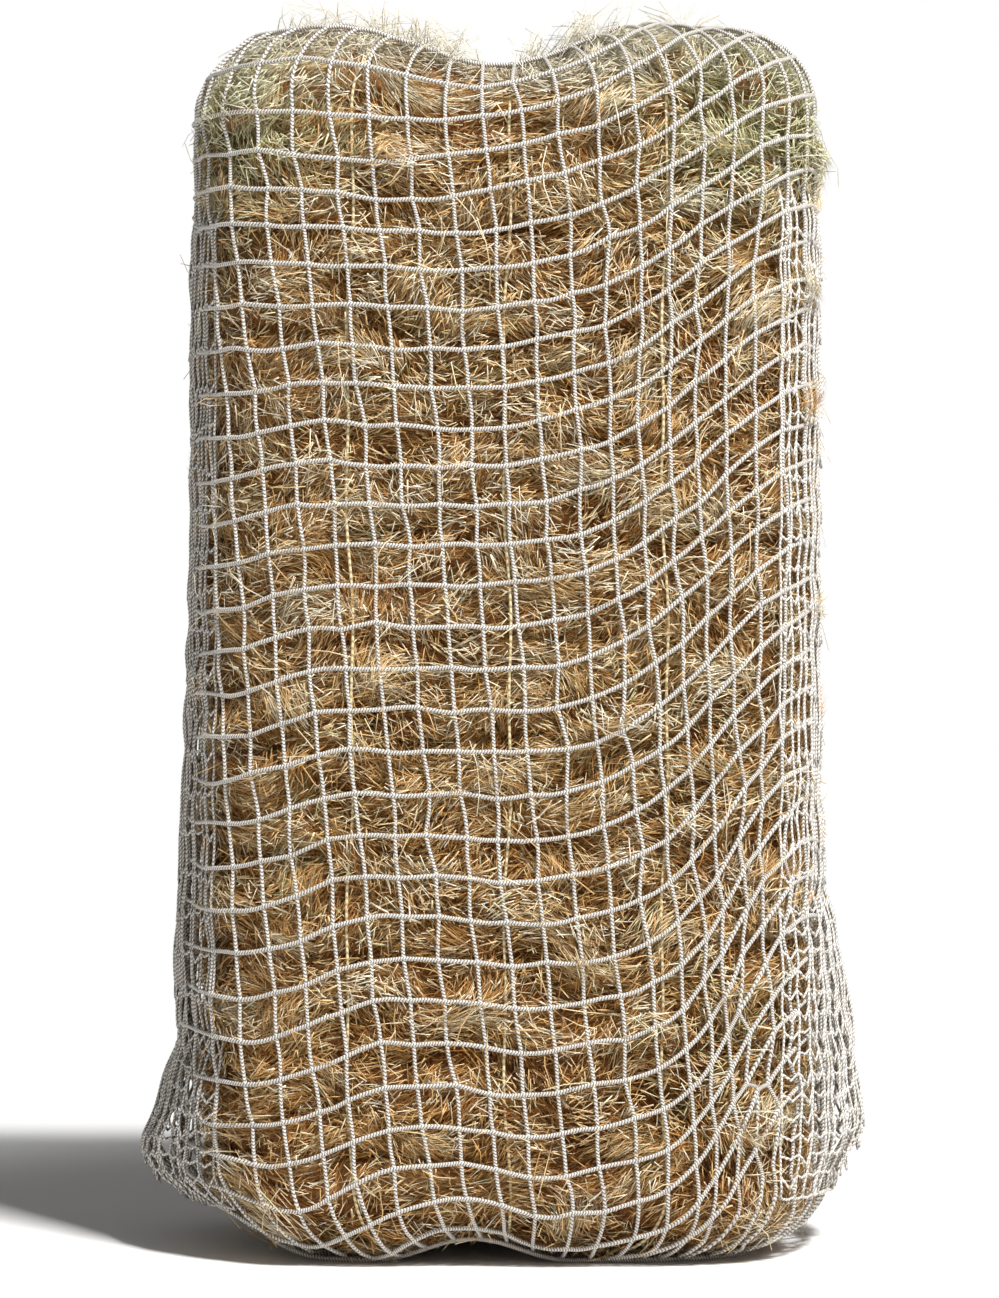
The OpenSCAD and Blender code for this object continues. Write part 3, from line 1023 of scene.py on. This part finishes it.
def lay_cord(around, down, off, fraction, width):
    parts = []
    for a, b in kept_runs(down <= net_course):
        path, up = on_net(around[a:b], down[a:b], off[a:b])
        radius = width / 2 * BAR_WIDTHS[fraction[a:b]]
        lowest = radius + 0.2
        path[:, 2] = np.maximum(path[:, 2], lowest)
        ends = fraction[a:b - 1]
        parts.append(cord_tube(path, up, radius, BAR_POINTS[ends], BAR_ENDS[ends]))
    return parts


print("points on a bar:", BAR_STEPS)

# %% [markdown]
# A sheet is a set of columns and rows that share their crossings. Real bars are never quite taut,
# so each one bows a little. Near the mouth the meshes are drawn together, and there the bars are
# slack and bow up in ruffles.

# %% Make the two sheets
crossing_shift = 1.5
bar_slack = 0.6
ruffle_tall = 10
ruffle_wide = 7
sheet_rows = math.ceil((net_course + mouth_run + right_pull + 40) / bar_down)
closed_rows = math.ceil((net_course + mouth_run) / bar_down)


def sheet(first, last, around_of):
    bars = last - first
    jitter = [rng.normal(0, crossing_shift, (sheet_rows + 2, bars + 2)) for _ in range(2)]
    jitter[0][:, 0] = 0
    jitter[0][:, bars:] = 0
    parts = []
    mesh, fraction = np.divmod(np.arange(sheet_rows * BAR_STEPS + 1), BAR_STEPS)
    bow = np.sin(np.pi * BAR_POINTS[fraction])
    q = -mouth_run + cord_d / 2 + bar_down * (mesh + BAR_POINTS[fraction])
    for bar in range(first, last + 1):
        slack = rng.normal(0, bar_slack, (2, sheet_rows + 1))[:, mesh]
        place = around_of(np.full(len(q), float(bar)), q)
        around, down, off = net_spot(place, np.full(len(q), bar - first), q, jitter)
        around = around + slack[0] * bow
        parts += lay_cord(around, down, off + np.abs(slack[1]) * bow, fraction, column_d)
    mesh, fraction = np.divmod(np.arange(bars * BAR_STEPS + 1), BAR_STEPS)
    bow = np.sin(np.pi * BAR_POINTS[fraction])
    bar = first + mesh + BAR_POINTS[fraction]
    for row in range(closed_rows + 1):
        slack = rng.normal(0, bar_slack, (2, bars + 1))[:, mesh]
        side_of = rng.choice([-1, 1], bars + 1)[mesh]
        q = np.full(len(bar), -mouth_run + cord_d / 2 + bar_down * row)
        drawn_in = 1 - flat_share(q, net_edge_r)
        place = around_of(bar, q)
        around, down, off = net_spot(place, bar - first, q, jitter)
        down = down + (slack[0] + side_of * ruffle_wide * drawn_in) * bow
        off = off + np.abs(slack[1]) * bow + ruffle_tall * drawn_in * bow
        parts += lay_cord(around, down, off, fraction, row_d)
    return parts


front_parts = sheet(first_bar, last_bar, front_around)
add_piece("front_net", "front_netting", front_parts, net_finish)
back_parts = sheet(0, back_bars, back_around)
add_piece("back_net", "back_netting", back_parts, net_finish)

# %% [markdown]
# ## The net base
# A flat square of the same netting closes the bag under the bale. It carries the weight, so it
# lies taut under the bale and takes the shape of its foot.

# %% Make the base
base_low, base_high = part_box("base_netting")
base_half = [base_high.x / MM, base_high.y / MM]
base_z = (base_low.z + base_high.z) / 2 / MM
base_r = cord_d / 2 - 0.05
half_step = 3
RIM_STEPS = 240
# Steps along a cord that fill the map once
BASE_BAR = 6
RIM_BAR = 5


def upwards(count):
    return np.tile([0.0, 0.0, 1.0], (count, 1))


def base_bars(axis, pitch):
    parts = []
    reach = base_half[axis] - cord_d / 2
    other = base_half[1 - axis] - cord_d / 2
    count = int(reach / pitch)
    for k in range(-count, count + 1):
        at = k * pitch
        end = other * (1 - (abs(at) / reach) ** corner_power) ** (1 / corner_power)
        steps = max(6, int(end / half_step))
        run = np.linspace(-end, end, steps)
        path = np.zeros((steps, 3))
        path[:, axis] = at + 0.8 * np.sin(run / 40 + k)
        path[:, 1 - axis] = run
        path[:, 2] = base_z + foot_lift(path[:, 0])
        parts.append(cord_tube(path, upwards(steps), base_r, *bar_map(steps - 1, BASE_BAR)))
    return parts


rim_turns = np.linspace(0, 2 * np.pi, RIM_STEPS + 1)[:-1]
rim_x, rim_y = outline_xy(rim_turns, base_half[0] - cord_d / 2, base_half[1] - cord_d / 2)
rim_z = base_z + foot_lift(rim_x)
rim_path = np.stack([rim_x, rim_y, rim_z], -1)
base_parts = base_bars(0, bar_across) + base_bars(1, bar_down)
rim_map = bar_map(RIM_STEPS, RIM_BAR)
base_parts.append(cord_tube(rim_path, upwards(RIM_STEPS), base_r, *rim_map, closed=True))
add_piece("base_net", "base_netting", base_parts, net_finish)

# %% [markdown]
# ## Gathered netting
# The bag is a little too big for the bale, and the spare netting hangs along both seams. Its cords
# carry no load. On the right they get a paler copy of the net's finish, beads and gaps alike, as
# painted light on the side the lamp falls on. They are drawn thin and with five sides, because there
# are so many.

# %% Thin cords
# A paler copy of the net finish: painted light for the lit right-hand side.
lit_side_finish = braid_finish("painted_light_braided_cord", 2, round(bar_down / bead_along),
                            "F1EDE6", "9A9389", 0.6)
gather_d = 2.6
GATHER_SIDES = 5
THIN_BAR = 5


def thin_cord(around, down, off):
    path, up = on_net(around, down, off)
    place = bar_map(len(path) - 1, THIN_BAR, rng.integers(THIN_BAR))
    return cord_tube(path, up, gather_d / 2, *place, sides=GATHER_SIDES)


print("thin cord in mm:", gather_d)

# %% [markdown]
# Spare netting is gathered like a curtain. Its columns crowd together, more so at the seam, and
# the slack bars hang between them in small loops. No two columns hang alike. A cloth simulation
# could find such folds, but it would have to be tuned for each change of the bale. A few sines and
# seeded random drifts give the same crumple every time.

# %% Gather a net
KNOTS_PER_BAR = 4
knot_step = bar_down / KNOTS_PER_BAR
pleat_run = 34
tuck = 11
tuck_run = 60
flare_power = 1.6


def gathered_net(middle, foot_z, height, half, columns, reach, curl, pleat, drift, every):
    # Columns crowd towards the seam
    foot = down_at(foot_z, net_edge_r)
    s = np.linspace(-1, 1, columns + 1) + rng.normal(0, 0.3 / columns, columns + 1)
    u = np.clip(s * (0.5 + 0.5 * s * s), -1, 1)
    inner = 1 - u * u
    rows = round(height / bar_down)
    knots = KNOTS_PER_BAR * rows + 1
    place = np.arange(knots)[:, None]
    t = place / (knots - 1)
    # Each hangs a little higher or lower than the next and drifts sideways
    from_hem = t * height
    from_top = (1 - t) * height
    hang = (6 * np.sin(9 * u) + rng.normal(0, 2.5, columns + 1)) * inner * ease(from_hem / curl)
    sway = np.cumsum(rng.normal(0, drift, (knots, columns + 1)), 0)
    sway = (sway - sway.mean(0)) * (0.3 + inner)
    around = middle + u * half + sway
    down = foot - knot_step * place + hang
    # A skirt stands out in pleats, and the ends are sunk into the hay
    skirt = reach * (1 - t) ** flare_power * ease(from_hem / curl)
    sunk = tuck * ease(1 - from_top / tuck_run)
    if reach == 0:
        sunk = sunk + tuck * ease(1 - from_hem / tuck_run)
    fold = pleat * (1 + np.sin(2 * np.pi * half * u / pleat_run + 2 * np.sin(4 * t + middle)))
    stand = skirt + fold + rng.uniform(0, 3, columns + 1)
    off = net_off(around, down) + 0.5 + inner * stand - sunk
    parts = [thin_cord(around[:, c], down[:, c], off[:, c]) for c in range(columns + 1)]
    # Slack bars join neighbours, each with a loop of its own
    for knot in range(0, knots, every):
        spot = [np.repeat(line[knot], 2)[:-1] for line in (around, down, off)]
        for line in spot:
            line[1::2] = (line[:-1:2] + line[2::2]) / 2
        loop = rng.uniform(2, 13, columns) if knot else rng.uniform(0.5, 2, columns)
        spot[1][1::2] += loop
        spot[2][1::2] += 0.15 * loop
        parts.append(thin_cord(*spot))
    return parts


print("knots along a bar:", KNOTS_PER_BAR)

# %% [markdown]
# Each corner of the bag's foot swells into a pouch that hangs away from the hay. Above it the
# gather lies flat, with both ends tucked in between the hay and the sheets.

# %% Make the gathers
left_half = 152
right_half = 176
skirt_look = {"pleat": 3, "drift": 1.8, "every": 2}
seam_look = {"reach": 0, "curl": 36, "pleat": 1.5, "drift": 1.1}
left_skirt = gathered_net(-seam, foot_z=25, height=200, half=left_half, columns=34,
                          reach=58, curl=75, **skirt_look)
add_piece("left_corner_net", "left_ear", left_skirt, net_finish)
right_skirt = gathered_net(seam, foot_z=62, height=284, half=right_half, columns=44,
                           reach=34, curl=60, **skirt_look)
add_piece("right_corner_net", "right_ear", right_skirt, lit_side_finish)
left_gather = gathered_net(-seam, foot_z=170, height=820, half=left_half, columns=40,
                           every=4, **seam_look)
add_piece("left_seam_gather", "front_netting", left_gather, net_finish)
right_gather = gathered_net(seam, foot_z=300, height=720, half=right_half, columns=50,
                            every=3, **seam_look)
add_piece("right_seam_gather", "front_netting", right_gather, lit_side_finish)

# %% [markdown]
# ## Seam lacing
# A thinner cord winds round the edge columns of both sheets and closes the sides of the bag.

# %% Lace both seams
lacing_d = 3.8
lacing_pitch = bar_down / 2
LACING_STEPS = 16


def lacing(middle):
    turns = int((net_course + mouth_run) / lacing_pitch) - 3
    phase = np.arange(turns * LACING_STEPS + 1) / LACING_STEPS
    q = -mouth_run + cord_d + phase * lacing_pitch
    spread = (seam_back + cord_d / 2 + lacing_d / 2) / flat_share(q, net_edge_r)
    around = middle + spread * np.sin(2 * np.pi * phase)
    off = net_off(np.full(len(q), middle), q) + (cord_d + lacing_d) / 2 * np.cos(2 * np.pi * phase)
    path, up = on_net(around, q, off)
    return [cord_tube(path, up, lacing_d / 2, *bar_map(len(q) - 1, LACING_STEPS))]


for hand, middle in (("left", -seam), ("right", seam)):
    add_piece(hand + "_lacing", hand + "_seam_lacing", lacing(middle), net_finish)

# %% [markdown]
# ## Baler twine
# Three loops of sisal twine hold the bale together. Sisal is a coarse, pale leaf fibre twisted into
# one strand, so it shows slanting ribs, about 6 mm apart. It sinks into the hay and surfaces in a
# few places.

# %% Twine finish and loops
# The dark stripes between its ribs are painted shade in the grooves of the twist.
twine_finish = braid_finish("twisted_sisal_twine", 1, 4, "DCCDA4", "A48F62", 0.3)
twine_d = 2.8
twine_step = 5.0
TWINE_BAR = 5
QUARTER_TURN = TURN_STEPS // 4
twine_sunk = 0.4
twine_rise = 3.6
# Between these heights a twine shows on the front.
TWINE_SHOWS = {"left_twine": (430, 710), "middle_twine": (500, 680), "right_twine": (730, 890)}


def twine(node, show_low, show_high):
    x = (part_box(node)[0].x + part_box(node)[1].x) / 2 / MM
    flat, rim, side = runs(hay_edge_r)
    from_middle = np.interp(abs(x), outline_x[:QUARTER_TURN], round_steps[:QUARTER_TURN])
    front_turn = float(from_middle) * np.sign(x)
    course = np.arange(-flat, 2 * rim + side + flat, twine_step)
    level = wrap(np.full(len(course), front_turn), course, 0.0, hay_edge_r)[:, 2]
    shown = ease((level - show_low) / 30) * ease((show_high - level) / 30)
    off = twine_sunk + twine_rise * shown
    sway = front_turn + 3 * np.sin(course / 84) + 1.5 * np.sin(course / 28)
    front = wrap(sway, course, off, hay_edge_r)
    on_flat = flat_share(course, hay_edge_r) < 1
    front[on_flat, 0] = x
    behind = wrap(-sway + girth / 2, course, np.full(len(course), 0.6), hay_edge_r)
    behind[on_flat, 0] = x
    path = np.concatenate([front, behind[::-1]])
    up = unit((path - path.mean(0)) * [0.0, 1.0, 1.0])
    return [cord_tube(path, up, twine_d / 2, *bar_map(len(path), TWINE_BAR), closed=True)]


for node, shows in TWINE_SHOWS.items():
    add_piece(node + "_loop", node, twine(node, *shows), twine_finish)

# %% [markdown]
# ## Mouth rope
# A thicker braided rope runs through the edge meshes round the mouth on top and draws it in. Its
# beads are about 3 mm long, like those of the net.

# %% Rope finish and ring
rope_d = 6
# The dark gaps between its beads are painted shade, as on the net.
rope_finish = braid_finish("braided_polyester_rope", 3, 3, "EBE6DE", "837C73", 0.6)
ROPE_STEPS = 400
ROPE_BAR = 10
rope_turn = 2 * np.pi * np.arange(ROPE_STEPS) / ROPE_STEPS
rope_around = np.arange(ROPE_STEPS) * girth / ROPE_STEPS
rope_down = -mouth_run + cord_d / 2 + 2 * np.sin(7 * rope_turn)
rope_off = net_mid + cord_d / 2 + rope_d / 2 + 1.2 * np.sin(28 * rope_turn)
rope_path, rope_up = on_net(rope_around, rope_down, rope_off)
rope_map = bar_map(ROPE_STEPS, ROPE_BAR)
rope_ring = cord_tube(rope_path, rope_up, rope_d / 2, *rope_map, closed=True)
add_piece("mouth_rope_ring", "mouth_rope", [rope_ring], rope_finish)

# %% [markdown]
# ## Floor and light
# A pale floor carries the shadow. Close to the bale it is a plain matt surface. Farther out it glows
# white to the camera and in reflections only, so it meets the sky without an edge and adds no
# light to the bale.

# %% Lay the floor
def seen_direct(tree, rays):
    shiny = add_node(
        tree, "ShaderNodeMath",
        [(rays.outputs["Is Glossy Ray"], 0), (rays.outputs["Is Transmission Ray"], 1)],
        operation="MAXIMUM")
    seen = add_node(
        tree, "ShaderNodeMath", [(rays.outputs["Is Camera Ray"], 0), (shiny.outputs[0], 1)],
        operation="MAXIMUM")
    return seen.outputs[0]


floor_mesh = bpy.data.meshes.new("floor")
far_out = 30.0
floor_corners = [(-far_out, -far_out, 0), (far_out, -far_out, 0),
                 (far_out, far_out, 0), (-far_out, far_out, 0)]
floor_mesh.from_pydata(floor_corners, [], [(0, 1, 2, 3)])
floor = bpy.data.objects.new("floor", floor_mesh)
bpy.context.scene.collection.objects.link(floor)
floor_finish, tree, shader = new_finish("pale_studio_floor")
shader.inputs["Base Color"].default_value = colour("F4F3F1")
shader.inputs["Roughness"].default_value = 0.9
rays = add_node(tree, "ShaderNodeLightPath")
spot = add_node(tree, "ShaderNodeTexCoord")
away = add_node(tree, "ShaderNodeVectorMath", [(spot.outputs["Object"], 0)], operation="LENGTH")
far = add_node(tree, "ShaderNodeMapRange", [(away.outputs["Value"], "Value")],
               {"From Min": 0.6, "From Max": 1.9}, interpolation_type="SMOOTHSTEP")
glow = add_node(tree, "ShaderNodeMath", [(far.outputs["Result"], 0), (seen_direct(tree, rays), 1)],
                operation="MULTIPLY")
white = add_node(tree, "ShaderNodeEmission", inputs={"Color": colour("FFFFFF")})
blend = add_node(tree, "ShaderNodeMixShader",
                 [(glow.outputs[0], 0), (shader.outputs[0], 1), (white.outputs[0], 2)])
tree.links.new(blend.outputs[0], tree.nodes["Material Output"].inputs["Surface"])
floor_mesh.materials.append(floor_finish)
print("floor half width in m:", far_out)

# %% [markdown]
# The sky fills the shade with a little light from all round. To the camera it is plain white.

# %% Light the sky
sky_fill = 0.11
world = bpy.data.worlds.new("pale_sky")
bpy.context.scene.world = world
world.use_nodes = True
tree = world.node_tree
sky = tree.nodes["Background"]
sky.inputs["Color"].default_value = colour("FFFFFF")
rays = add_node(tree, "ShaderNodeLightPath")
level = add_node(tree, "ShaderNodeMapRange", [(seen_direct(tree, rays), "Value")],
                 {"To Min": sky_fill, "To Max": 1.0})
tree.links.new(level.outputs["Result"], sky.inputs["Strength"])
print("fill from the sky:", sky_fill)

# %% [markdown]
# One large lamp stands high on the right in front, as the sun does in the photograph. Its size
# softens the edges of the shadows a little.

# %% Hang the lamp
lamp_data = bpy.data.lights.new("key_lamp", "AREA")
lamp_data.energy = 4150
lamp_data.size = 2.2
lamp = bpy.data.objects.new("key_lamp", lamp_data)
lamp.location = (5.3, -7.6, 13.2)
lamp_aim = Vector((0, 0, 0.55)) - lamp.location
lamp.rotation_euler = lamp_aim.to_track_quat("-Z", "Y").to_euler()
bpy.context.scene.collection.objects.link(lamp)
bpy.context.scene.view_settings.view_transform = "Standard"
print("lamp at", [round(v, 2) for v in lamp.location])
